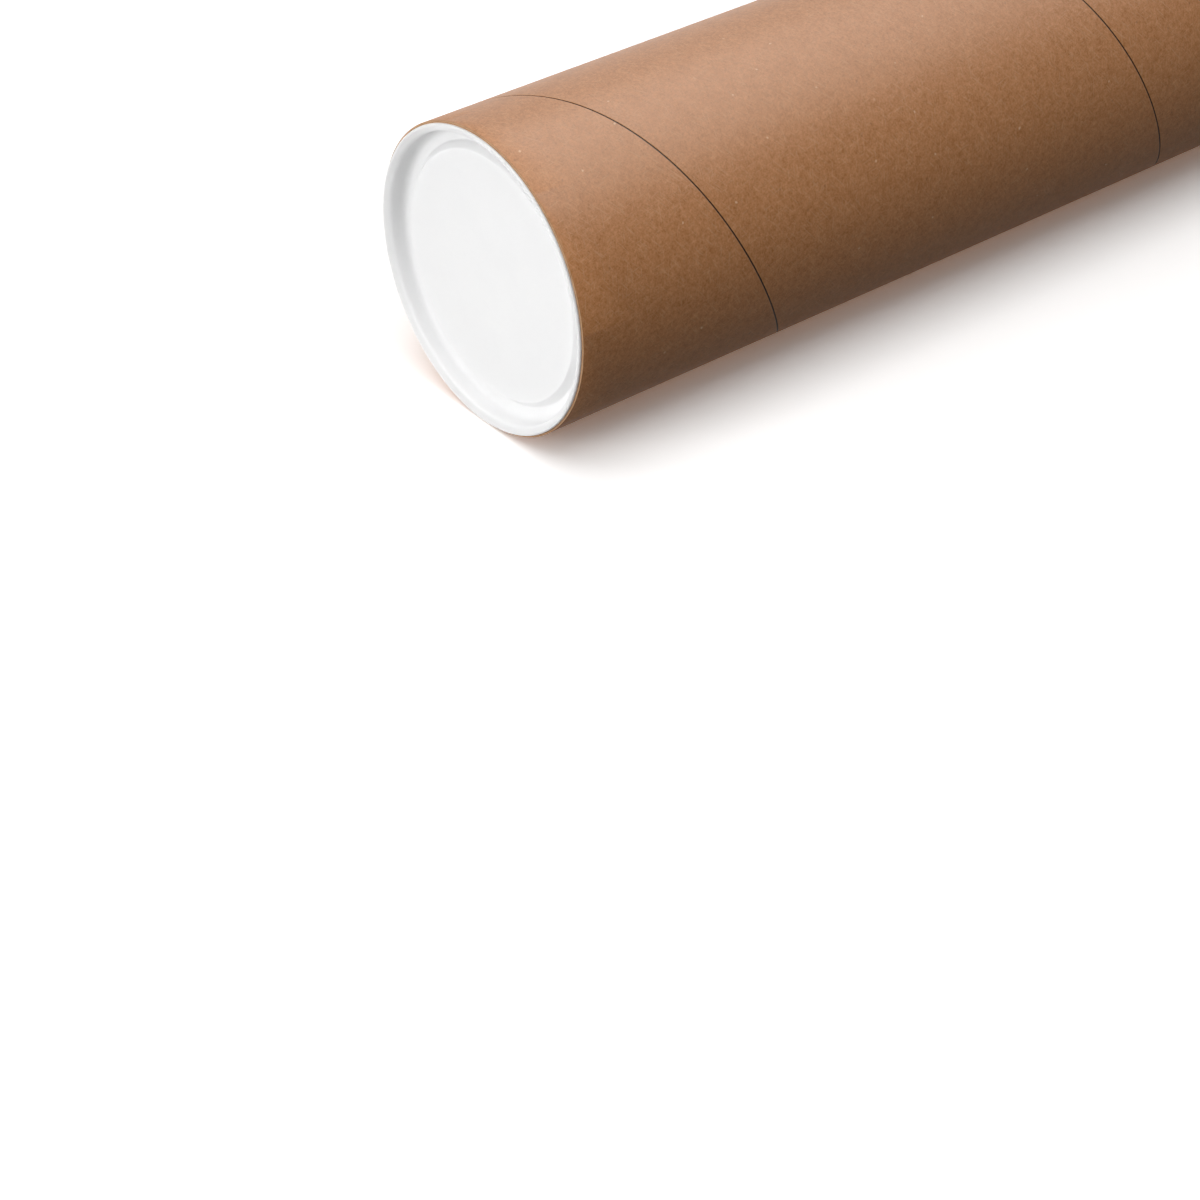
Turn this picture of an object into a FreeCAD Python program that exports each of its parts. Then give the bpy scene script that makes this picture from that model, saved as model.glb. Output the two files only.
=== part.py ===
import FreeCAD, Part
import os

import Sketcher

# A cardboard mailing tube, standing on one end.
# The body is a spirally wound paperboard tube: strips of kraft board glued on each other round a
# mandrel, so the finished tube is one piece. Its outermost strip leaves one thin open seam that
# climbs round the tube as a right-handed helix.
# A white moulded plastic plug is pushed into each end. The two plugs are alike. Each has a thin
# lip that stops on the cut end of the board, a skirt that grips the bore, and a sunk round face
# whose flat middle stands up out of a ring groove.
# The axis is Z. The tube stands on the lip of its lower plug, whose underside is the plane z = 0.

# Driving sizes, in millimetres and degrees
SIZES = {
    "tube_length": (610, "cut length of the cardboard tube"),
    "bore": (76.2, "inside diameter of the tube"),
    "board": (1.6, "thickness of the wound wall"),
    "strip_width": (120, "width of the outermost strip of board, across the strip"),
    "seam_gap": (0.4, "open gap between two turns of that strip"),
    "seam_depth": (0.2, "depth of the gap, the thickness of the outermost strip"),
    "seam_angle": (-34, "where the seam meets the upper cut end, from +X towards +Y"),
    "plug_clearance": (0.05, "gap between plug and bore, on the radius"),
    "plug_depth": (19, "how far the skirt reaches into the tube"),
    "skirt_wall": (1.1, "thickness of the skirt"),
    "lead_in": (0.6, "how much the foot of the skirt narrows, on the radius"),
    "lead_in_length": (2, "length of that narrowing"),
    "lip_setback": (0.6, "how far the lip stays inside the outside of the tube"),
    "lip_height": (0.75, "how far the lip stands out past the cut end"),
    "lip_edge": (0.3, "bevel along the lip's outer edge"),
    "lip_flat": (0.3, "width of the flat crest that the tube can stand on"),
    "lip_bevel_drop": (0.95, "how far the lip slopes down from its crest to the inner wall"),
    "face_depth": (3, "the sunk face, below the cut end"),
    "groove_width": (5, "from the inner wall to the edge of the raised middle"),
    "groove_depth": (2, "bottom of the ring groove, below the face"),
    "groove_bevel": (1.2, "bevel between the inner wall and the groove's bottom"),
    "face_slope": (1.6, "run of the slope from the face down to the groove"),
    "face_wall": (1.2, "thickness of the face"),
}

doc = FreeCAD.newDocument("mailing_tube")
sheet = doc.addObject("Spreadsheet::Sheet", "sizes")
for row, (name, (value, meaning)) in enumerate(SIZES.items(), start=1):
    sheet.set(f"A{row}", name)
    sheet.set(f"B{row}", str(value))
    sheet.set(f"C{row}", meaning)
    sheet.setAlias(f"B{row}", name)
doc.recompute()

# Sizes that follow from the driving ones, as expressions for the sketches
INSIDE = "sizes.bore / 2"
OUTSIDE = "(sizes.bore / 2 + sizes.board)"
SKIRT = "(sizes.bore / 2 - sizes.plug_clearance)"
WALL = f"({SKIRT} - sizes.skirt_wall)"
LIP = f"({OUTSIDE} - sizes.lip_setback)"
CREST_OUT = f"({LIP} - sizes.lip_edge)"
CREST_IN = f"({CREST_OUT} - sizes.lip_flat)"
FACE_EDGE = f"({WALL} - sizes.groove_width)"
GROOVE_FOOT = f"({FACE_EDGE} + sizes.face_slope)"
GROOVE_BOTTOM = "(sizes.face_depth + sizes.groove_depth)"
UNDER_SHIFT = "sizes.face_wall * tan(atan(sizes.groove_depth / sizes.face_slope) / 2)"

AXIS = "0"

STRIP_TURN = "(pi * (sizes.bore + 2 * sizes.board))"
PITCH = f"(sizes.strip_width * {STRIP_TURN} / sqrt({STRIP_TURN} ^ 2 - sizes.strip_width ^ 2))"


def plane_of(body, role):
    """One of the body's own origin planes, by its role."""
    return next(f for f in body.Origin.OriginFeatures if f.Role == role)


def new_body(label, height):
    """A body whose own origin lies on the tube's axis, at the height that the expression gives."""
    body = doc.addObject("PartDesign::Body", label)
    body.Label = label
    body.setExpression("Placement.Base.z", height)
    return body


def new_sketch(body, name, role):
    """A sketch on one of the body's origin planes."""
    sketch = body.newObject("Sketcher::SketchObject", name)
    sketch.AttachmentSupport = [(plane_of(body, role), "")]
    sketch.MapMode = "FlatFace"
    return sketch


def bind(sketch, index, name, expression):
    """Names a constraint of the sketch and ties it to the sizes."""
    sketch.renameConstraint(index, name)
    sketch.setExpression(f"Constraints.{name}", expression)


def circle(sketch, name, radius):
    """A circle about the sketch's origin."""
    start_radius = 10
    middle = FreeCAD.Vector(0, 0, 0)
    index = sketch.addGeometry(Part.Circle(middle, FreeCAD.Vector(0, 0, 1), start_radius))
    sketch.addConstraint(Sketcher.Constraint("Coincident", index, 3, -1, 1))
    bind(sketch, sketch.addConstraint(Sketcher.Constraint("Radius", index, start_radius)), name, radius)


def evaluate(expression):
    """The value of an expression of the sizes, to draw each sketch in place from the start."""
    return float(sheet.evalExpression(expression))


def outline(sketch, corners):
    """A closed outline of straight lines through named corners, each an (x, y) of expressions."""
    spots = [FreeCAD.Vector(evaluate(x), evaluate(y), 0) for x, y in corners.values()]
    lines = [
        sketch.addGeometry(Part.LineSegment(start, end))
        for start, end in zip(spots, spots[1:] + spots[:1])
    ]
    for line, following in zip(lines, lines[1:] + lines[:1]):
        sketch.addConstraint(Sketcher.Constraint("Coincident", line, 2, following, 1))
    for line, (name, (x, y)) in zip(lines, corners.items()):
        place(sketch, line, f"{name}_y", "DistanceY", y)
        if x == AXIS:
            sketch.addConstraint(Sketcher.Constraint("PointOnObject", line, 1, -2))
        else:
            place(sketch, line, f"{name}_x", "DistanceX", x)


def place(sketch, line, name, kind, expression):
    """Holds a line's first point at a distance from the sketch's origin that follows the sizes."""
    rule = Sketcher.Constraint(kind, -1, 1, line, 1, evaluate(expression))
    bind(sketch, sketch.addConstraint(rule), name, expression)


def check_everything():
    """Stops the build if any object failed or any sub-part's solid is not sound."""
    doc.recompute()
    for item in doc.Objects:
        if {"Invalid", "Error"} & set(item.State):
            raise RuntimeError(f"{item.Name} failed: {item.State}")
    for body in sub_parts:
        if body.Shape.isNull() or not body.Shape.isValid() or len(body.Shape.Solids) != 1:
            raise RuntimeError(f"{body.Label} is not one sound solid")


# The cardboard tube: a plain ring drawn up to its length

def cardboard_tube():
    """The wound tube, with the outermost strip's open seam cut into its outside."""
    body = new_body("tube", "sizes.lip_height")
    ring = new_sketch(body, "tube_ring", "XY_Plane")
    circle(ring, "inside", INSIDE)
    circle(ring, "outside", OUTSIDE)
    pad = body.newObject("PartDesign::Pad", "tube_wall")
    pad.Profile = ring
    pad.setExpression("Length", "sizes.tube_length")
    doc.recompute()
    cut_seam(body)
    return body


def cut_seam(body):
    """A helical groove of the strip's thickness, as wide as the gap between its turns.

    Its section is a rectangle in the plane of the axis. The helix starts below the lower end of the
    tube and runs on past the upper end, so that both ends of the groove are open."""
    section = new_sketch(body, "seam_section", "XZ_Plane")
    margin = 5
    low = f"(-{margin})"
    high = f"({low} + sizes.seam_gap * {PITCH} / sizes.strip_width)"
    inner = f"({OUTSIDE} - sizes.seam_depth)"
    outer = f"({OUTSIDE} + sizes.seam_depth)"
    outline(section, {
        "low_inner": (inner, low),
        "low_outer": (outer, low),
        "high_outer": (outer, high),
        "high_inner": (inner, high),
    })
    start = f"(sizes.seam_angle - 360 * (sizes.tube_length + {margin}) / {PITCH})"
    section.setExpression("AttachmentOffset.Rotation.Angle", start)
    section.setExpression("AttachmentOffset.Rotation.Axis.y", "1")
    section.setExpression("AttachmentOffset.Rotation.Axis.z", "0")
    seam = body.newObject("PartDesign::SubtractiveHelix", "seam")
    seam.Profile = section
    seam.ReferenceAxis = (section, ["V_Axis"])
    seam.Mode = "pitch-height-angle"
    seam.setExpression("Pitch", PITCH)
    seam.setExpression("Height", f"sizes.tube_length + {2 * margin}")


# The end plugs: one outline turned about the axis

def end_plug(label, height, turned):
    """A moulded plug, drawn with the cut end of the tube at height 0 and the outside above it."""
    body = new_body(label, height)
    if turned:
        body.Placement.Rotation = FreeCAD.Rotation(FreeCAD.Vector(1, 0, 0), 180)
    section = new_sketch(body, f"{label}_section", "XZ_Plane")
    face = "(-sizes.face_depth)"
    groove = f"(-{GROOVE_BOTTOM})"
    under_face = f"({face} - sizes.face_wall)"
    under_groove = f"({groove} - sizes.face_wall)"
    outline(section, {
        "face_middle": (AXIS, face),
        "face_edge": (FACE_EDGE, face),
        "groove_foot": (GROOVE_FOOT, groove),
        "groove_end": (f"({WALL} - sizes.groove_bevel)", groove),
        "wall_foot": (WALL, f"({groove} + sizes.groove_bevel)"),
        "wall_top": (WALL, "(sizes.lip_height - sizes.lip_bevel_drop)"),
        "crest_inner": (CREST_IN, "sizes.lip_height"),
        "crest_outer": (CREST_OUT, "sizes.lip_height"),
        "lip_side": (LIP, "(sizes.lip_height - sizes.lip_edge)"),
        "lip_seat": (LIP, "0"),
        "skirt_top": (SKIRT, "0"),
        "skirt_end": (SKIRT, "(sizes.lead_in_length - sizes.plug_depth)"),
        "foot_outer": (f"({SKIRT} - sizes.lead_in)", "(-sizes.plug_depth)"),
        "foot_inner": (WALL, "(-sizes.plug_depth)"),
        "under_wall": (WALL, under_groove),
        "under_foot": (f"({GROOVE_FOOT} - {UNDER_SHIFT})", under_groove),
        "under_edge": (f"({FACE_EDGE} - {UNDER_SHIFT})", under_face),
        "under_middle": (AXIS, under_face),
    })
    turn = body.newObject("PartDesign::Revolution", f"{label}_moulding")
    turn.Profile = section
    turn.ReferenceAxis = (section, ["V_Axis"])
    turn.Angle = 360
    return body


sub_parts = [
    cardboard_tube(),
    end_plug("upper_plug", "sizes.lip_height + sizes.tube_length", turned=False),
    end_plug("lower_plug", "sizes.lip_height", turned=True),
]
check_everything()

os.makedirs("parts", exist_ok=True)
for body in sub_parts:
    body.Shape.exportStep(f"parts/{body.Label}.step")
    print(f"{body.Label}: {body.Shape.Volume / 1000:.2f} cm3, {len(body.Shape.Faces)} faces")
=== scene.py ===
# %% [markdown]
# # A cardboard mailing tube with a plug in each end
# A mailing tube is made of strips of brown board, wound like a bandage round a steel bar, glued, and sawn
# to length. A white plastic plug is pushed into each end. This lesson dresses the plain solids of such a
# tube for a photograph. The solids were drawn in another program. They come in first, as a fixed
# frame that says where everything is and how it moves, and the pieces made here only take the places of the
# solids. All lengths are in metres.

import math

import bpy
import numpy as np
from mathutils import Matrix, Vector


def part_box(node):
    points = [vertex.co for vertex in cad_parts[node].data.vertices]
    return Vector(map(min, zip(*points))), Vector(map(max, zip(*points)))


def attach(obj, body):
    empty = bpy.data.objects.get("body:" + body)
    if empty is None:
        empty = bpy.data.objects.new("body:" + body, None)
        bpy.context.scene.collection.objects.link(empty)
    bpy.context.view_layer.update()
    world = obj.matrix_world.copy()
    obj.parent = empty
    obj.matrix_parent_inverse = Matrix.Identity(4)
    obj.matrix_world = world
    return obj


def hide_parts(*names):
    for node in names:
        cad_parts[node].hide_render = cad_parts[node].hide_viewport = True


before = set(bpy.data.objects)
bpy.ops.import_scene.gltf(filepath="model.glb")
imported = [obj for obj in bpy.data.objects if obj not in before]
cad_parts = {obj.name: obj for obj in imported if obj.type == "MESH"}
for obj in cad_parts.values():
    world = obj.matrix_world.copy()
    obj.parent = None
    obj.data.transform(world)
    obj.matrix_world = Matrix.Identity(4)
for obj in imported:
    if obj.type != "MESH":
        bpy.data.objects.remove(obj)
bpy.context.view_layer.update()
MM = 0.001
tube_low, tube_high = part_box("tube")
print("the tube runs from", round(tube_low.z / MM, 2), "to", round(tube_high.z / MM, 2), "mm up")

# %% [markdown]
# ## Surfaces from grids
# Both kinds of piece are surfaces that two numbers sweep out: how far round the axis, and how far along a
# section. Blender has modifiers for that, such as Screw, but the wound seam runs off the square-cut ends at
# a slant, and a modifier can't trim it cleanly. So the points are worked out as whole arrays, and one small
# class turns each grid of points into faces. It also keeps a map position for each corner of a face,
# because a texture that follows the board has to jump where one turn of the strip meets the next, while the
# points there are shared.

# %% A mesh that is collected from grids
class Surface:
    """A mesh collected from grids of points.

    add_points takes places and answers with their numbers, in an array of the same shape. add_grid lays one
    four-sided face between two neighbouring rows and two neighbouring columns of such numbers. Where
    neighbours are the same point, the face shrinks to a triangle or to nothing, so poles and slanting ends
    close by themselves.
    """

    def __init__(self):
        self.points = np.zeros((0, 3))
        self.patches = []

    def add_points(self, places):
        first = len(self.points)
        self.points = np.concatenate([self.points, places.reshape(-1, 3)])
        return first + np.arange(places[..., 0].size).reshape(places.shape[:-1])

    def add_grid(self, numbers, places_on_map, slot=0):
        faces, maps = self.corners(numbers), self.corners(places_on_map)
        same = faces == np.roll(faces, -1, axis=1)
        shrunk = same.sum(axis=1)
        self.patches.append((faces[shrunk == 0], maps[shrunk == 0], slot))
        for k in range(4):
            chosen = (shrunk == 1) & same[:, k]
            left = [(k + 1) % 4, (k + 2) % 4, (k + 3) % 4]
            self.patches.append((faces[chosen][:, left], maps[chosen][:, left], slot))

    @staticmethod
    def corners(grid):
        """The four corners of every cell of a grid, as one row for each cell."""
        cells = np.stack([grid[:-1, :-1], grid[1:, :-1], grid[1:, 1:], grid[:-1, 1:]], axis=2)
        return cells.reshape((-1, 4) + grid.shape[2:])

    def make(self, name, materials, smooth_below=35):
        """Puts the points that are in use, the faces and the map into a Blender mesh."""
        used = np.unique(np.concatenate([faces.ravel() for faces, _, _ in self.patches]))
        renumbered = np.zeros(len(self.points), int)
        renumbered[used] = np.arange(len(used))
        rows = [face for faces, _, _ in self.patches for face in renumbered[faces].tolist()]
        mesh = bpy.data.meshes.new(name)
        mesh.from_pydata(self.points[used].tolist(), [], rows)
        flat_map = np.concatenate([maps.reshape(-1, 2) for _, maps, _ in self.patches])
        mesh.uv_layers.new(name="board").uv.foreach_set("vector", flat_map.ravel())
        slots = np.concatenate([np.full(len(faces), slot) for faces, _, slot in self.patches])
        mesh.polygons.foreach_set("material_index", slots)
        mesh.shade_smooth()
        mesh.set_sharp_from_angle(angle=math.radians(smooth_below))
        for material in materials:
            mesh.materials.append(material)
        mesh.validate()
        piece = bpy.data.objects.new(name, mesh)
        bpy.context.scene.collection.objects.link(piece)
        triangles = sum(len(polygon.vertices) - 2 for polygon in mesh.polygons)
        print(name, "has", len(used), "points and", triangles, "triangles")
        return piece


def close(grid):
    """Repeats the first row of a grid after its last one, so that a turn closes on itself."""
    return np.concatenate([grid, grid[:1]])


# %% [markdown]
# ## The wound tube
# On the real tube the outermost strip is 120 mm wide. Its edges almost meet: a gap of under half a
# millimetre is left, and it climbs round the tube as one long line. A texture could draw that line, but the
# real one is a small groove with soft paper edges that catches light and shade, so it is modelled. A wound
# strip also slides a little before the glue holds it, so in every turn the line runs up to 5 mm off an even
# climb, once to each side. One long strip is wound as a grid: its columns step round the tube, and its rows
# cross the strip, close together in the groove and far apart between.

# %% Sizes of the board
BORE = 38.1 * MM
BOARD = 1.6 * MM
OUTSIDE = BORE + BOARD
STRIP_WIDTH = 120 * MM
ROUND = 2 * math.pi * OUTSIDE
PITCH = STRIP_WIDTH * ROUND / math.sqrt(ROUND ** 2 - STRIP_WIDTH ** 2)
SLOPE = math.atan2(PITCH, ROUND)
SEAM_ANGLE = -27
INNER_SEAM_ANGLE = 143
DRIFT = 4.9 * MM
DRIFT_ANGLE = -19
OUTER_GAP = 0.40 * MM
OUTER_GROOVE = 0.20 * MM
INNER_GAP = 0.25 * MM
INNER_GROOVE = 0.12 * MM
GAP_SWELL = 0.12
UNEVENNESS = 0.05 * MM
SPARE_TURNS = 3
COLUMNS = 360
EDGE = 0.1 * MM
print("one turn climbs", round(PITCH / MM, 2), "mm, at", round(math.degrees(SLOPE), 1), "degrees")

# %% The section across the strip
# Each row: share of the gap, share of the strip's width, further distance in mm, share of the groove's depth
GAP_ROWS = [
    (0, 0, 0.000, 0.35), (0, 0, 0.012, 0.85), (0, 0, 0.060, 1.00), (0.5, 0, 0, 1.00),
    (1, 0, -0.060, 1.00), (1, 0, -0.012, 0.85), (1, 0, 0.000, 0.35), (1, 0, 0.020, 0.12),
    (1, 0, 0.060, 0.02), (1, 0, 0.110, 0.00), (1, 0, 0.300, 0.00),
]
FIELD_ROWS = [(0, share, 0, 0) for share in (0.05, 0.15, 0.26, 0.38, 0.5, 0.62, 0.74, 0.85, 0.95)]
FAR_ROWS = [
    (0, 1, -0.300, 0), (0, 1, -0.110, 0), (0, 1, -0.060, 0.02), (0, 1, -0.020, 0.12), (0, 1, 0.000, 0.35),
]
STRIP_ROWS = np.array(GAP_ROWS + FIELD_ROWS + FAR_ROWS, float)


def strip_section(turns, gap, depth):
    """Distance across the strip, and depth under its surface, of every row at each given turn count.

    A row's distance is its share of the gap plus its share of the width plus its own offset. The gap swells
    and narrows by up to GAP_SWELL of itself along the strip, as three waves whose lengths have no common
    measure.
    """
    wander = (np.sin(7.3 * turns) + np.sin(17.9 * turns + 1.3) + np.sin(41.1 * turns + 4.0)) / 3
    open_gap = gap * (1 + GAP_SWELL * wander)
    of_gap, of_width, offset, sunk = STRIP_ROWS.T
    across = open_gap[:, None] * of_gap + STRIP_WIDTH * of_width + MM * offset
    return across, np.broadcast_to(depth * sunk, across.shape)


def between(values, known_at, known):
    """Straight-line interpolation with one table for each value: the rows of known_at and known."""
    left = np.clip((known_at <= values[:, None]).sum(axis=1) - 1, 0, known_at.shape[1] - 2)[:, None]
    x0, x1 = (np.take_along_axis(known_at, left + k, 1)[:, 0] for k in (0, 1))
    y0, y1 = (np.take_along_axis(known, left + k, 1)[:, 0] for k in (0, 1))
    return y0 + (y1 - y0) * (values - x0) / (x1 - x0)


def drift(angle):
    """How far the strip has slid off an even climb: lowest once in each turn, highest half a turn later."""
    return -DRIFT * np.cos(angle - math.radians(DRIFT_ANGLE))


def unevenness(angle, height):
    """How far the glued board lies under a perfect cylinder: slow waves round and along the tube."""
    wave = np.sin(2 * angle + 11 * height) + np.sin(3 * angle - 23 * height + 2) + np.sin(47 * height + 1)
    return UNEVENNESS * (wave + 3) / 6


# %% Wind a strip and cut it square
def wind_strip(surface, radius, side, gap, depth, start, ends, slot):
    """Winds a strip of board round the axis and cuts it square at both ends.

    A point's turn count is its column divided by the columns of one turn. Its angle is that many full
    circles. Its height is start + pitch * (turn count + share of the width that is crossed) + drift at that
    angle. Its radius is the wall's radius, less depth and unevenness for an outer face (side 1), or more by
    them for an inner one (side -1). The last row of a turn is the first row of the next. A point beyond an
    end takes the one point of that end's ring in its column. Answers with the numbers of both rings.
    """
    low, high = ends
    columns = math.ceil((high + DRIFT - start) / PITCH * COLUMNS) + 1
    turns = np.arange(columns + COLUMNS) / COLUMNS
    across, sunk = strip_section(turns, gap, depth)
    angle = 2 * math.pi * turns[:, None] + 0 * across
    height = start + PITCH * (turns[:, None] + across / STRIP_WIDTH) + drift(angle)
    reach = radius - side * (sunk + unevenness(angle, height))
    places = np.stack([reach * np.cos(angle), reach * np.sin(angle), height], axis=-1)
    numbers = surface.add_points(places)

    rings = []
    for end in ends:
        m = np.arange(COLUMNS) / COLUMNS
        around = 2 * math.pi * m
        total = (end - start - drift(around)) / PITCH
        share = (total - m) % 1
        rows_at, rows_sunk = strip_section(total - share, gap, depth)
        ring_sunk = between(share * STRIP_WIDTH, rows_at, rows_sunk)
        ring_reach = radius - side * (ring_sunk + unevenness(around, end))
        ring = np.stack([ring_reach * np.cos(around), ring_reach * np.sin(around)], axis=-1)
        rings.append(surface.add_points(np.column_stack([ring, np.full(COLUMNS, end)])))

    def whole(grid):
        """The strip's grid with the next turn's first row as its last column."""
        return np.concatenate([grid[:columns, :-1], grid[COLUMNS:columns + COLUMNS, :1]], axis=1)

    numbers, heights = whole(numbers), whole(height)
    cut = np.clip(heights, low, high)
    column = (np.arange(columns) % COLUMNS)[:, None] + 0 * numbers
    numbers = np.where(heights <= low, rings[0][column], numbers)
    numbers = np.where(heights >= high, rings[1][column], numbers)
    along = radius * angle[:columns] * math.cos(SLOPE) + cut * math.sin(SLOPE)
    over = across[:columns] + (cut - heights) * math.cos(SLOPE)
    board_map = np.stack([along, over], axis=-1)
    if side < 0:
        numbers, board_map = numbers[:, ::-1], board_map[:, ::-1]
    surface.add_grid(numbers, board_map, slot)
    return rings


# %% [markdown]
# ## The cut ends
# A saw or a knife leaves the wall's plies showing as fine rings, each 0.4 mm thick, with the glue between
# them. The ring of the outer wall and the ring of the inner wall are joined by circles: first over a
# rounded edge, then across the plies with a shallow score at each glue line. Where the open gap runs out at
# the end, the first ply is notched.

# %% Close the ends and make the tube
PLIES = 4
PLY = BOARD / PLIES
# Distance in from the outside, as plies, and depth under the cut end, in mm
END_ROWS = np.array([
    (0.08, 0.03), (0.25, 0.0), (0.90, 0.0), (1.00, 0.05), (1.10, 0.0), (1.90, 0.0), (2.00, 0.04),
    (2.10, 0.0), (2.90, 0.0), (3.00, 0.05), (3.10, 0.0), (3.75, 0.0), (3.92, 0.03),
])


def cut_end(surface, outer_ring, inner_ring, height, facing, slot):
    """Joins the outer and the inner ring by circles.

    A circle in the first ply lies between the outer ring and the first glue line, one in the last ply
    between the last glue line and the inner ring, and any other has a plain radius.
    """
    angle = 2 * math.pi * np.arange(COLUMNS)[:, None] / COLUMNS
    outer = np.hypot(*surface.points[outer_ring].T[:2])[:, None]
    inner = np.hypot(*surface.points[inner_ring].T[:2])[:, None]
    plies, sunk = END_ROWS.T
    plain = OUTSIDE - plies * PLY
    first = outer + (OUTSIDE - PLY - outer) * plies
    last = inner + (BORE + PLY - inner) * (PLIES - plies)
    reach = np.where(plies < 1, first, np.where(plies > PLIES - 1, last, plain + 0 * outer))
    level = height - facing * MM * sunk + 0 * reach
    numbers = surface.add_points(np.stack([reach * np.cos(angle), reach * np.sin(angle), level], axis=-1))
    numbers = close(np.column_stack([outer_ring, numbers, inner_ring]))
    turn = np.arange(COLUMNS + 1)[:, None] / COLUMNS + 0 * numbers
    into_wall = np.concatenate([[0], plies, [PLIES]]) * PLY + 0 * turn
    end_map = np.stack([turn * ROUND, into_wall], axis=-1)
    if facing < 0:
        numbers, end_map = numbers[:, ::-1], end_map[:, ::-1]
    surface.add_grid(numbers, end_map, slot)


def seam_start(angle):
    """Height of the seam at angle 0, moved down by whole turns until it is well under the tube.

    But for its drift, the seam passes the upper cut end at the given angle, and climbs one pitch in a full
    circle.
    """
    at_zero = tube_high.z - PITCH * angle / 360
    turns_above_foot = math.floor((at_zero - tube_low.z) / PITCH)
    return at_zero - PITCH * (turns_above_foot + SPARE_TURNS)


OUTER_FACE, CUT_END, INNER_FACE = 0, 1, 2
tube_surface = Surface()
wall_ends = (tube_low.z + EDGE, tube_high.z - EDGE)
outer_start = seam_start(SEAM_ANGLE)
inner_start = seam_start(INNER_SEAM_ANGLE)
outer_rings = wind_strip(
    tube_surface, OUTSIDE, 1, OUTER_GAP, OUTER_GROOVE, outer_start, wall_ends, OUTER_FACE)
inner_rings = wind_strip(
    tube_surface, BORE, -1, INNER_GAP, INNER_GROOVE, inner_start, wall_ends, INNER_FACE)
cut_end(tube_surface, outer_rings[0], inner_rings[0], tube_low.z, -1, CUT_END)
cut_end(tube_surface, outer_rings[1], inner_rings[1], tube_high.z, 1, CUT_END)

# %% [markdown]
# ## The plugs
# Each plug is one thin moulding: a lip that stops on the cut end, a skirt that grips the bore, and a sunk
# face whose flat middle stands up out of a ring groove. A moulding is round, so its section is drawn once
# and turned about the axis. No moulded corner is sharp, because plastic doesn't fill one, so every corner
# of the section has its rounding.

# %% Round the corners of a section
# How far off the extra points lie: this distance, or this share of the room that is left, if that is less
SUPPORT = 0.25 * MM
SUPPORT_SHARE = 0.3


def unit(vector):
    """The vector at length one."""
    return vector / np.linalg.norm(vector)


def rounded(corners, steps=7):
    """Rounds the corners of a section, whose corners are (distance from the axis, height, rounding) in mm.

    The tangent points lie rounding * tan(half the turn) before and after a corner, and the points between
    them lie on the circle that touches both sides there. One more point on each side, a little way off,
    keeps the flats between the roundings evenly shaded.
    """
    points = []
    spots = np.array([corner[:2] for corner in corners], float) * MM
    for k, (_, _, rounding) in enumerate(corners):
        here = spots[k]
        if rounding == 0:
            points.append(here)
            continue
        before, after = spots[k - 1] - here, spots[k + 1] - here
        to_before, to_after = unit(before), unit(after)
        half_turn = (math.pi - math.acos(float(np.clip(to_before @ to_after, -1, 1)))) / 2
        tangent = rounding * MM * math.tan(half_turn)
        outward, sideways = unit(-to_before - to_after), unit(to_after - to_before)
        centre = here - outward * rounding * MM / math.cos(half_turn)
        swing = np.linspace(-half_turn, half_turn, steps)[:, None]
        arc = centre + rounding * MM * (np.cos(swing) * outward + np.sin(swing) * sideways)
        room_before = np.linalg.norm(before) - tangent
        room_after = np.linalg.norm(after) - tangent
        points.append(here + to_before * (tangent + min(SUPPORT, SUPPORT_SHARE * room_before)))
        points.extend(arc)
        points.append(here + to_after * (tangent + min(SUPPORT, SUPPORT_SHARE * room_after)))
    return np.array(points)


# %% The section of a plug
# Heights count from the cut end of the tube, outwards. The section runs from the middle of the hidden
# underside, down and up round the skirt, over the lip, and back to the middle of the sunk face.
PLUG_SECTION = [
    (0, -4.2, 0), (12, -4.2, 0), (31.37, -4.2, 0.5), (32.97, -6.2, 0.5), (36.95, -6.2, 0.5),
    (36.95, -19.0, 0.3), (37.45, -19.0, 0.2), (38.05, -17.0, 1.5), (38.05, 0.0, 0.12), (39.10, 0.0, 0.1),
    (39.10, 0.75, 0.32), (38.50, 0.75, 0.4), (36.95, -0.2, 1.1), (36.95, -5.0, 1.7), (33.55, -5.0, 0.55),
    (31.95, -3.0, 0.5), (22, -3.0, 0), (10, -3.0, 0), (0, -3.0, 0),
]
PLUG_COLUMNS = 288


def turned(section, height, up):
    """Turns a section about the axis. For a plug that faces down it is mirrored and run backwards."""
    surface = Surface()
    if up < 0:
        section = section[::-1]
    angle = 2 * math.pi * np.arange(PLUG_COLUMNS)[:, None] / PLUG_COLUMNS
    reach = section[:, 0] + 0 * angle
    level = height + up * section[:, 1] + 0 * angle
    numbers = surface.add_points(np.stack([reach * np.cos(angle), reach * np.sin(angle), level], axis=-1))
    numbers[:, 0], numbers[:, -1] = numbers[0, 0], numbers[0, -1]
    steps = np.concatenate([[0], np.cumsum(np.hypot(*np.diff(section, axis=0).T))])
    turn = np.arange(PLUG_COLUMNS + 1)[:, None] / PLUG_COLUMNS
    plug_map = np.stack(np.broadcast_arrays(turn * ROUND, steps + 0 * turn), axis=-1)
    surface.add_grid(close(numbers), plug_map)
    return surface


plug_section = rounded(PLUG_SECTION)
upper_surface = turned(plug_section, tube_high.z, 1)
lower_surface = turned(plug_section, tube_low.z, -1)
print("the plug's section has", len(plug_section), "points")

# %% [markdown]
# ## Shader maths as plain expressions
# A procedural material is arithmetic on patterns. Written node by node it is long and hard to read, so one
# small class wraps a node's output and lets Python's own operators add the Math nodes.

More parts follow.
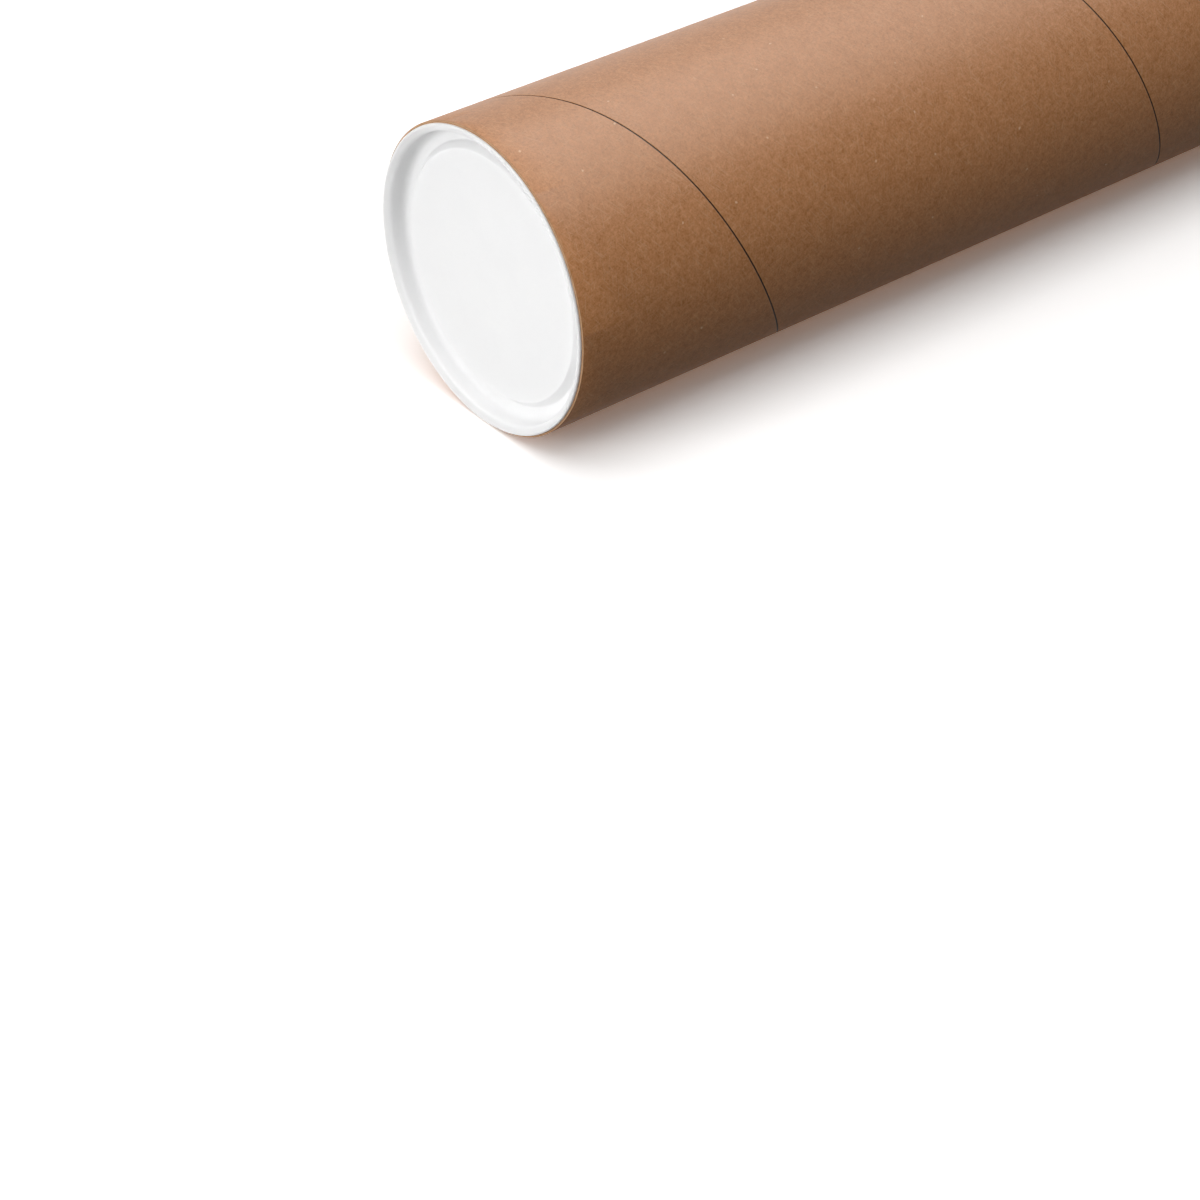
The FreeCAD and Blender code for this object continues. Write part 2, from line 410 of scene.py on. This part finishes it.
# %% A shader value that Python can calculate with
class Value:
    """The output of a node. Sums, differences, products and the larger of two values add Math nodes."""

    def __init__(self, shader, socket):
        self.shader = shader
        self.socket = socket

    def maths(self, operation, *others):
        inputs = dict(enumerate((self,) + others))
        return self.shader.node("ShaderNodeMath", {"operation": operation}, inputs).out()

    def __add__(self, other):
        return self.maths("ADD", other)

    def __radd__(self, other):
        return self.maths("ADD", other)

    def __sub__(self, other):
        return self.maths("SUBTRACT", other)

    def __rsub__(self, other):
        return (self * -1) + other

    def __mul__(self, other):
        return self.maths("MULTIPLY", other)

    def __rmul__(self, other):
        return self.maths("MULTIPLY", other)

    def maximum(self, other):
        return self.maths("MAXIMUM", other)

    def step(self, low, high):
        """0 up to low, 1 from high on, and an S-curve between. With low above high it falls instead."""
        fall = low > high
        low, high = sorted((low, high))
        settings = {"interpolation_type": "SMOOTHSTEP", "clamp": True}
        ends = {1: low, 2: high, 3: 1.0 if fall else 0.0, 4: 0.0 if fall else 1.0}
        return self.shader.node("ShaderNodeMapRange", settings, {0: self, **ends}).out()


class Node:
    """A node of the material, whose outputs are asked for by name or number."""

    def __init__(self, shader, node):
        self.shader = shader
        self.node = node

    def out(self, which=0):
        return Value(self.shader, self.node.outputs[which])


class Shader:
    """One material or world, and the one method that adds nodes to it."""

    def __init__(self, owner):
        self.owner = owner
        owner.use_nodes = True
        self.tree = owner.node_tree
        self.tree.nodes.clear()

    def node(self, kind, settings=None, inputs=None):
        """Adds a node, makes its settings first, and then sets or links its input sockets."""
        node = self.tree.nodes.new(kind)
        for name, setting in (settings or {}).items():
            setattr(node, name, setting)
        for which, value in (inputs or {}).items():
            if isinstance(value, Value):
                self.tree.links.new(value.socket, node.inputs[which])
            else:
                node.inputs[which].default_value = value
        return Node(self, node)

    def noise(self, vector, scale, detail=2.0, roughness=0.5, distortion=0.0, dimensions="2D"):
        """Cloudy noise around 0.5. Scale counts its lumps in a metre."""
        sockets = {"Vector": vector, "Scale": scale, "Detail": detail}
        sockets.update({"Roughness": roughness, "Distortion": distortion})
        return self.node("ShaderNodeTexNoise", {"noise_dimensions": dimensions}, sockets).out(0)

    def moved(self, vector, shift=(0, 0, 0), turn=0.0, size=(1, 1, 1)):
        """Places, turns (in degrees) and stretches a pattern, whose lumps grow with the given size."""
        rotation = (0, 0, math.radians(turn))
        sockets = {"Vector": vector, "Location": shift, "Rotation": rotation, "Scale": size}
        return self.node("ShaderNodeMapping", {"vector_type": "TEXTURE"}, sockets).out()

    def mix(self, factor, first, second):
        """One colour fading into another."""
        sockets = {0: factor, 6: first, 7: second}
        return self.node("ShaderNodeMix", {"data_type": "RGBA", "clamp_factor": True}, sockets).out(2)

    def part(self, vector, which):
        """One number of a vector: 0, 1 or 2 for X, Y or Z."""
        return self.node("ShaderNodeSeparateXYZ", None, {0: vector}).out(which)

    def bump(self, height, strength, distance):
        """A normal tilted by a pattern of heights, whose 1 stands for the given distance."""
        sockets = {"Strength": strength, "Distance": distance, "Height": height}
        return self.node("ShaderNodeBump", None, sockets).out()

    def finish(self, surface):
        self.node("ShaderNodeOutputMaterial", None, {"Surface": surface})
        return self.owner


def colour(red, green, blue):
    """A colour picked on a screen, 0 to 255, as the linear light that a shader works with."""
    parts = [c / 255 for c in (red, green, blue)]
    return tuple(c / 12.92 if c <= 0.04045 else ((c + 0.055) / 1.055) ** 2.4 for c in parts) + (1.0,)


# %% [markdown]
# ## Brown kraft board
# Kraft liner is unbleached pulp. Close up it is a felt of short fibres: clouds of slightly darker and
# lighter brown a few millimetres across, a fine grain, single pale fibres and shreds of bark, and now and
# then a pale fleck. The pattern follows the strip, so it reads the strip's own map, and it breaks off at
# the seam as the real paper does. The grain also lifts the surface a little, by a Bump node, and dulls the
# gloss unevenly.

# %% The board's material
BROWN = (0.455, 0.200, 0.078)
BROWN_SPREAD = (0.27, 0.16, 0.10)
FIBRE_PAPER = colour(214, 178, 142)
SHRED_PAPER = colour(96, 62, 40)
PALE_PAPER = colour(236, 205, 170)
TORN_PAPER = colour(205, 168, 132)
# The seam groove's near-black colour: partly glue, partly painted shade of the kind a narrow groove holds
SEAM_GLUE_AND_PAINTED_SHADE = colour(34, 21, 13)
FIBRE_SHOWS = 0.22
SHRED_SHOWS = 0.30
PALE_SHOWS = 0.55
TORN_SHOWS = 0.12
SEAM_SHOWS = 0.95
FLECK = 0.42 * MM
# A fleck's edge is pushed about by up to this much, by noise with so many lumps in a metre
RAGGED = 0.9 * MM
RAGGED_LUMPS = 900.0
BOARD_ROUGHNESS = 0.46
BOARD_GLOSS = 0.22
# Lumps in a metre of each pattern, and its weight in the tone of the paper
CLOUDS, CLOUDS_WEIGHT = 230, 0.40
MOTTLE, MOTTLE_WEIGHT = 760, 0.95
GRAIN, GRAIN_WEIGHT = 1900, 1.0
# Each set of fibres: direction in degrees, length and width in mm, and how strong a crest has to be to show
FIBRE_SETS = [(12, 5.0, 0.34, 0.62), (74, 3.6, 0.30, 0.64), (-38, 4.2, 0.32, 0.64)]


def fibres(shader, vector, turn, long, wide, crest):
    """Fine lines in one direction: noise that is stretched along it, of which only the crests are kept."""
    laid = shader.moved(vector, turn=turn, size=(long * MM, wide * MM, 1))
    return shader.noise(laid, 1.0, 1.0, 0.5, 0.5).step(crest, crest + 0.14)


def flecks(shader, vector, per_metre, radius, share):
    """Sparse ragged spots: one in each cell of a Voronoi pattern, kept in only a share of the cells."""
    shift = shader.node("ShaderNodeTexNoise", None, {"Vector": vector, "Scale": RAGGED_LUMPS, "Detail": 1.0})
    raggedness = {0: shift.out("Color"), 1: (RAGGED, RAGGED, 0), 2: vector}
    ragged = shader.node("ShaderNodeVectorMath", {"operation": "MULTIPLY_ADD"}, raggedness).out()
    cells = shader.node("ShaderNodeTexVoronoi", {"feature": "F1", "voronoi_dimensions": "2D"},
                        {"Vector": ragged, "Scale": per_metre, "Randomness": 1.0})
    size = radius * per_metre
    spot = cells.out("Distance").step(size, 0.35 * size)
    lot = shader.node("ShaderNodeSeparateColor", None, {0: cells.out("Color")}).out(0)
    return spot * lot.step(1 - share, 1 - share + 0.15)


def kraft_board(name, seam_gap, shade=1.0):
    """Unbleached board: clouds, grain, crossing fibres, pale flecks, dark shreds, a seam of glue and painted
    shade.
    """
    shader = Shader(bpy.data.materials.new(name))
    strip = shader.node("ShaderNodeUVMap", {"uv_map": "board"}).out()
    clouds = shader.noise(strip, CLOUDS, 2, 0.6)
    mottle = shader.noise(shader.moved(strip, shift=(3, 1, 0)), MOTTLE, 2, 0.75)
    grain = shader.noise(shader.moved(strip, shift=(1, 5, 0)), GRAIN, 2, 0.9)
    coarse_tone = (clouds - 0.5) * CLOUDS_WEIGHT + (mottle - 0.5) * MOTTLE_WEIGHT
    tone = coarse_tone + (grain - 0.5) * GRAIN_WEIGHT + 0.5
    dark = tuple(max(c * shade - 0.5 * s * shade, 0.0) for c, s in zip(BROWN, BROWN_SPREAD)) + (1.0,)
    light = tuple(c * shade + 0.5 * s * shade for c, s in zip(BROWN, BROWN_SPREAD)) + (1.0,)
    paper = shader.mix(tone, dark, light)
    lines = fibres(shader, strip, *FIBRE_SETS[0])
    for fibre_set in FIBRE_SETS[1:]:
        lines = lines.maximum(fibres(shader, strip, *fibre_set))
    paper = shader.mix(lines * FIBRE_SHOWS, paper, FIBRE_PAPER)
    shreds = flecks(shader, shader.moved(strip, shift=(7, 2, 0)), 95, FLECK, 0.5)
    paper = shader.mix(shreds * SHRED_SHOWS, paper, SHRED_PAPER)
    pale = flecks(shader, strip, 75, FLECK, 0.42)
    paper = shader.mix(pale * PALE_SHOWS, paper, PALE_PAPER)
    across = shader.part(strip, 1)
    # Paints the seam's groove near-black: partly glue, partly painted shade
    seam = across.step(1.12 * seam_gap, 0.9 * seam_gap)
    torn = across.step(seam_gap * 2.4, seam_gap) * across.step(0.8 * seam_gap, seam_gap)
    paper = shader.mix(torn * TORN_SHOWS, paper, TORN_PAPER)
    paper = shader.mix(seam * SEAM_SHOWS, paper, SEAM_GLUE_AND_PAINTED_SHADE)
    relief = grain * 0.5 + mottle * 0.3 + lines * 0.35
    bump = shader.bump(relief, 0.35, 0.05 * MM)
    rough = BOARD_ROUGHNESS + (mottle - 0.5) * 0.16 + lines * 0.05
    board = shader.node("ShaderNodeBsdfPrincipled", None, {
        "Base Color": paper, "Roughness": rough, "Normal": bump, "Specular IOR Level": BOARD_GLOSS,
    })
    return shader.finish(board.out())


outer_board = kraft_board("kraft_board_outer_ply", OUTER_GAP)
inner_board = kraft_board("kraft_board_inner_ply", INNER_GAP, shade=0.92)

# %% [markdown]
# ## The sawn edge of the board
# Across the cut the fibres stand on end, so the edge is paler and rougher than the face, and each glue line
# between two plies is a thin darker ring. The map of the ends counts millimetres into the wall, which
# places those rings.

# %% The cut end's material
def cut_board():
    """Cut plies: a paler brown with a thin dark line each 0.4 mm into the wall, and a coarse grain."""
    shader = Shader(bpy.data.materials.new("kraft_board_cut_end"))
    place = shader.node("ShaderNodeUVMap", {"uv_map": "board"}).out()
    grain = shader.noise(shader.moved(place, size=(1, 0.4, 1)), 2600, 3, 0.7)
    slow = shader.noise(place, 240, 2, 0.5)
    tone = (grain - 0.5) * 1.4 + (slow - 0.5) * 0.8 + 0.5
    paper = shader.mix(tone, colour(158, 117, 84), colour(203, 164, 127))
    into_wall = shader.part(place, 1)
    from_line = (into_wall * (1 / PLY) + 0.5).maths("FRACT") - 0.5
    near_line = from_line.maths("ABSOLUTE").step(0.13, 0.03)
    paper = shader.mix(near_line * 0.55, paper, colour(92, 60, 38))
    bump = shader.bump(grain, 0.5, 0.06 * MM)
    board = shader.node("ShaderNodeBsdfPrincipled", None, {
        "Base Color": paper, "Roughness": 0.85, "Normal": bump, "IOR": 1.4,
    })
    return shader.finish(board.out())


cut_board_end = cut_board()

# %% [markdown]
# ## White polyethylene
# The plugs are moulded in soft white plastic. It is satin rather than glossy: the mould was blasted with
# fine sand, and that leaves a skin that only shows in the highlights. Light goes a little way in, so the
# shades inside the recess stay pale. A very faint clouding stands for the handling that such a plug has
# seen.

# %% The plugs' material
PLASTIC_ROUGHNESS = 0.42
SCATTER = 0.8
SCATTER_DEPTH = 3.0 * MM


def white_plastic():
    """Satin white plastic: nearly even colour, a sand-blasted skin, faint rubbed patches."""
    shader = Shader(bpy.data.materials.new("white_polyethylene"))
    place = shader.node("ShaderNodeTexCoord").out("Object")
    skin = shader.noise(place, 2300, 3, 0.6, dimensions="3D")
    cloud = shader.noise(place, 55, 3, 0.55, dimensions="3D")
    smears = shader.noise(shader.moved(place, size=(1, 1, 0.3)), 260, 4, 0.65, dimensions="3D")
    rubbed = smears.step(0.55, 0.8)
    tone = (cloud - 0.5) * 1.6 + (skin - 0.5) * 0.5 + 0.5
    white = shader.mix(tone, colour(245, 245, 246), colour(250, 250, 250))
    white = shader.mix(rubbed * 0.25, white, colour(239, 239, 240))
    bump = shader.bump(skin, 0.12, 0.03 * MM)
    rough = PLASTIC_ROUGHNESS + (cloud - 0.5) * 0.12 + rubbed * 0.08
    plastic = shader.node("ShaderNodeBsdfPrincipled", None, {
        "Base Color": white, "Roughness": rough, "Normal": bump, "IOR": 1.5,
        "Subsurface Weight": SCATTER, "Subsurface Radius": (1.0, 1.0, 1.0),
        "Subsurface Scale": SCATTER_DEPTH,
    })
    return shader.finish(plastic.out())


polyethylene = white_plastic()

# %% [markdown]
# ## Put the pieces on the frame
# Each finished surface stands for one solid of the frame and moves with the body that the solid belongs to,
# so a pulled plug takes its looks along.

# %% Make the objects
tube_board = tube_surface.make("tube_board", [outer_board, cut_board_end, inner_board])
upper_moulding = upper_surface.make("upper_plug_moulding", [polyethylene])
lower_moulding = lower_surface.make("lower_plug_moulding", [polyethylene])
for piece, node, slot in (
    (tube_board, "tube", "kraft_board"),
    (upper_moulding, "upper_plug", "white_plastic"),
    (lower_moulding, "lower_plug", "white_plastic"),
):
    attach(piece, node)
    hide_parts(node)

# %% [markdown]
# ## Floor and backdrop
# The tube stands on a pale floor and leans on nothing, but an upright pale sheet just touches its side. The
# camera is turned with the tube, so in the picture that sheet is what the tube seems to lie on. To the
# camera both are a little brighter than white paper. In the board's gloss they carry painted shade on the
# near side and painted light on the far side, which gives the tube a light rim and a dark foot. For light
# that bounces on they are grey, or they would fill every shade of the tube with light, and from behind they
# are clear, so that the tube can be looked at from any side. Each one fades away at a distance from the
# tube, so that no edge of it shows.

# %% The stage and its material
# How bright the sheets are, where 1 is white paper: for the camera, and in gloss on the near side, as
# painted shade, and on the far side, as painted light
SHOWN = 1.38
GLOSS_NEAR_PAINTED_SHADE = 0.55
GLOSS_FAR_PAINTED_LIGHT = 2.0
# How wide the change is between the near side and the far side
GLOSS_CHANGE = 0.05
LIFT = 0.02
BOUNCED = (0.08, 0.079, 0.078, 1)
SHEET_CELLS = 8
FLOOR = 1.0
BACKDROP = 4.0
BACKDROP_HEIGHT = 5.0


def even(level):
    """An even grey of the given level, which may be over 1."""
    return (level, level, level, 1)


def stage_material(name, solid, faded):
    """Bright for the camera, grey for bounced light, clear from behind and for shadows.

    In gloss its near side is painted shade and its far side painted light. The sheet is whole as far
    as the first distance from the tube's axis, and faded away at the second one.
    """
    shader = Shader(bpy.data.materials.new(name))
    path = shader.node("ShaderNodeLightPath")
    mirrored = path.out("Is Glossy Ray").maximum(path.out("Is Transmission Ray"))
    seen = mirrored.maximum(path.out("Is Camera Ray"))
    place = shader.node("ShaderNodeTexCoord").out("Object")
    # In gloss only: painted shade on the near side of the sheet, painted light on the far side
    far_side = shader.part(place, 0).step(-GLOSS_CHANGE, GLOSS_CHANGE)
    mirror_painted_light_and_shade = shader.mix(far_side, even(GLOSS_NEAR_PAINTED_SHADE), even(GLOSS_FAR_PAINTED_LIGHT))
    white = shader.mix(mirrored, even(SHOWN), mirror_painted_light_and_shade)
    paper = shader.node("ShaderNodeBsdfDiffuse", None, {"Color": white}).out()
    lift = shader.node("ShaderNodeEmission", None, {"Color": (1, 1, 1, 1), "Strength": LIFT}).out()
    bright = shader.node("ShaderNodeAddShader", None, {0: paper, 1: lift}).out()
    grey = shader.node("ShaderNodeBsdfDiffuse", None, {"Color": BOUNCED}).out()
    shown = shader.node("ShaderNodeMixShader", None, {0: seen, 1: grey, 2: bright}).out()
    behind = shader.node("ShaderNodeNewGeometry").out("Backfacing")
    clear = shader.node("ShaderNodeBsdfTransparent").out()
    level = shader.node("ShaderNodeVectorMath", {"operation": "MULTIPLY"}, {0: place, 1: (1, 1, 0)}).out()
    from_axis = shader.node("ShaderNodeVectorMath", {"operation": "LENGTH"}, {0: level}).out("Value")
    away = from_axis.step(solid, faded)
    gone = (behind * path.out("Is Camera Ray")).maximum(path.out("Is Shadow Ray")).maximum(away)
    return shader.finish(shader.node("ShaderNodeMixShader", None, {0: gone, 1: shown, 2: clear}).out())


def sheet(name, corner, side_a, side_b, material):
    """A flat sheet from one corner and two sides. It faces the way that side a turns towards side b."""
    surface = Surface()
    shares = np.linspace(0, 1, SHEET_CELLS + 1)
    a, b = np.meshgrid(shares, shares, indexing="ij")
    places = np.array(corner) + a[..., None] * np.array(side_a) + b[..., None] * np.array(side_b)
    surface.add_grid(surface.add_points(places), np.stack([a, b], axis=-1))
    piece = surface.make(name, [material])
    return piece


floor_paper = stage_material("floor_paper", 0.3, 0.5)
sheet("floor", (-FLOOR, -FLOOR, 0), (2 * FLOOR, 0, 0), (0, 2 * FLOOR, 0), floor_paper)
backdrop_paper = stage_material("backdrop_paper", 1.5, 3.0)
sheet("backdrop", (-BACKDROP, OUTSIDE, 0), (2 * BACKDROP, 0, 0), (0, 0, BACKDROP_HEIGHT), backdrop_paper)

# %% [markdown]
# ## Light
# The room's sky is brightest over the tube as the picture sees it, which is beside it here, and fades away
# towards the sheet. Four soft lamps add to it: one over the tube, one that faces the upper plug, one that
# reaches into the plug's recess from under the tube, and one behind the sheet for the tube's far side. Two
# wide panels show in the gloss alone. They make the broad pale band along the board, and a lamp that lit
# the board as well would wash it out. Each lamp's level is given as the brightness that it alone would lend
# a white card, so a total near one shows colours as they are written.

# %% Lamps and world
AIM = Vector((0, 0, 0.5))
# Name, angle round the tube, climb, distance, width and height, level, and whether it shows in gloss alone
LAMPS = [
    ("lamp_over", -14, 0.4, 1.7, (1.3, 1.3), 0.40, False),
    ("lamp_end", -20, 3.5, 1.9, (1.2, 1.2), 0.55, False),
    ("lamp_under", 140, 1.6, 1.9, (1.2, 1.2), 0.34, False),
    ("lamp_back", 133, -0.1, 1.7, (1.0, 1.3), 0.50, False),
    ("lamp_shine", 2, -0.50, 1.6, (2.2, 0.8), 2.1, True),
    ("lamp_shine_far", 68, -0.50, 1.6, (1.2, 0.8), 0.10, True),
]
# The sky's level at the horizon, and what it gains by straight overhead
SKY_LOW = 0.02
SKY_GAIN = 0.49


def softbox(name, direction, distance, size, level):
    """A lamp that faces the tube, of the given width round the tube and the given height along it.

    Its power is level * (pi * distance)^2, which lends a white card that faces it there the given level.
    """
    towards = Vector(direction).normalized()
    data = bpy.data.lights.new(name, "AREA")
    data.shape = "RECTANGLE"
    data.size, data.size_y = size
    data.energy = level * (math.pi * distance) ** 2
    lamp = bpy.data.objects.new(name, data)
    lamp.location = AIM + towards * distance
    lamp.rotation_mode = "QUATERNION"
    lamp.rotation_quaternion = towards.to_track_quat("Z", "Y")
    lamp.visible_camera = False
    bpy.context.scene.collection.objects.link(lamp)
    return lamp


def round_the_tube(angle, climb):
    """A direction: the angle starts at the tube's top side in the picture, the climb goes up the axis."""
    a = math.radians(angle)
    return (math.sin(a), -math.cos(a), climb)


for name, angle, climb, distance, size, level, gloss_alone in LAMPS:
    lamp = softbox(name, round_the_tube(angle, climb), distance, size, level)
    lamp.visible_diffuse = not gloss_alone

world = Shader(bpy.data.worlds.new("studio_room"))
path = world.node("ShaderNodeLightPath")
mirrored = path.out("Is Glossy Ray").maximum(path.out("Is Transmission Ray"))
seen = mirrored.maximum(path.out("Is Camera Ray"))
direction = world.node("ShaderNodeTexCoord").out("Generated")
overhead = world.part(direction, 1) * -1
sky = overhead.step(0.0, 0.8) * SKY_GAIN + SKY_LOW
room = world.node("ShaderNodeBackground", None, {"Color": (1, 1, 1, 1), "Strength": sky}).out()
white_room = world.node("ShaderNodeBackground", None, {"Color": (1, 1, 1, 1), "Strength": 1.0}).out()
mixed = world.node("ShaderNodeMixShader", None, {0: seen, 1: room, 2: white_room}).out()
world.node("ShaderNodeOutputWorld", None, {"Surface": mixed})
bpy.context.scene.world = world.owner
world.owner.cycles.sampling_method = "NONE"

# %% [markdown]
# ## Camera
# The camera was found by fitting the outlines of the tube and the ellipse of its end. It is given by where
# it stands and by the directions of its right, its top and its back, all in the frame of the tube.

# %% The camera
CAMERA_RIGHT = (-0.62448, 0.00808, -0.78100)
CAMERA_UP = (0.46051, -0.80383, -0.37654)
CAMERA_BACK = (-0.63083, -0.59480, 0.49826)
CAMERA_PLACE = (-0.50148, -0.36172, 0.97139)
SENSOR_WIDTH = 36
FOCAL_LENGTH = 89.485
data = bpy.data.cameras.new("camera")
data.sensor_width = SENSOR_WIDTH
data.lens = FOCAL_LENGTH
data.clip_start = 0.05
data.clip_end = 50
camera = bpy.data.objects.new("camera", data)
bpy.context.scene.collection.objects.link(camera)
camera.matrix_world = Matrix((
    CAMERA_RIGHT + (0,), CAMERA_UP + (0,), CAMERA_BACK + (0,), CAMERA_PLACE + (1,),
)).transposed()
bpy.context.scene.camera = camera
bpy.context.scene.view_settings.view_transform = "Standard"
print("the camera stands", round(math.dist(CAMERA_PLACE, (0, 0, tube_high.z)), 3), "m from the plug")
